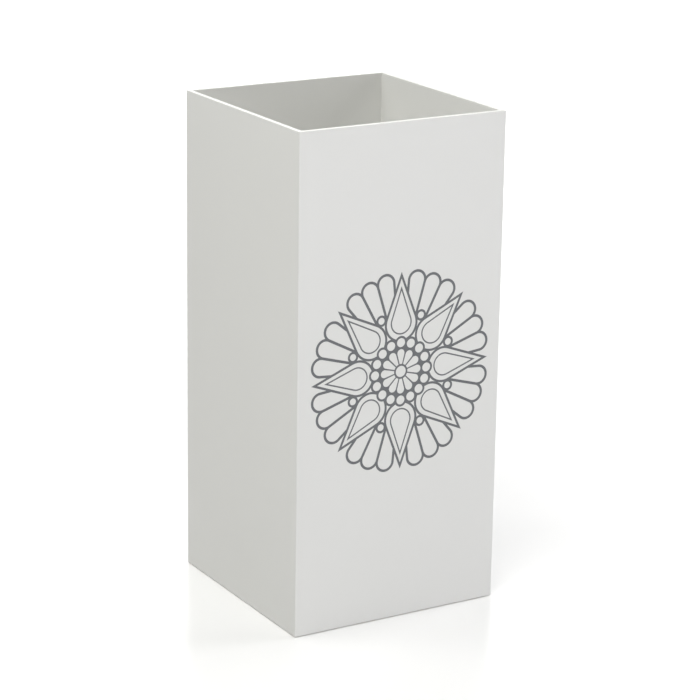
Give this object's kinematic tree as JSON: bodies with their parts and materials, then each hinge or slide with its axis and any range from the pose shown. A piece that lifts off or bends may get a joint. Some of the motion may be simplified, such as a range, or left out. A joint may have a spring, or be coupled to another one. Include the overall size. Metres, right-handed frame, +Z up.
{
  "type": "umbrella stand",
  "caption": "Tall square white umbrella stand: open-topped box of thin lacquered board with a grey line rosette printed on the front and a lift-out drip tray inside.",
  "frame": {"origin": "on the floor, under the centre of the square box", "axes": "+Z up through the open top; the printed front faces -Y; +X to the right as seen from in front"},
  "size_m": [0.228, 0.228, 0.5],
  "materials": {
    "white_lacquer": "smooth white lacquer on fibreboard, satin",
    "cleat_board": "raw sawn fibreboard with white overspray",
    "base_board": "fibreboard, thinly sprayed white",
    "brad_steel": "bright drawn wire",
    "felt": "pressed wool felt, off-white",
    "tray_plastic": "fine matt mould texture, light grey",
    "print_ink": "matt grey screen-printing ink"
  },
  "bodies": {
    "stand": {"front_panel": "white_lacquer", "right_panel": "white_lacquer", "back_panel": "white_lacquer", "left_panel": "white_lacquer", "front_cleat": "cleat_board", "right_cleat": "cleat_board", "back_cleat": "cleat_board", "left_cleat": "cleat_board", "base_board": "base_board", "base_brads": "brad_steel", "felt_foot_front_left": "felt", "felt_foot_front_right": "felt", "felt_foot_back_left": "felt", "felt_foot_back_right": "felt"},
    "tray": {"drip_tray": "tray_plastic"}
  },
  "joints": [
    {"name": "tray_lift", "type": "slide", "parent": "stand", "child": "tray", "axis": [0, 0, 1], "range_m": [0, 0.52]}
  ]
}
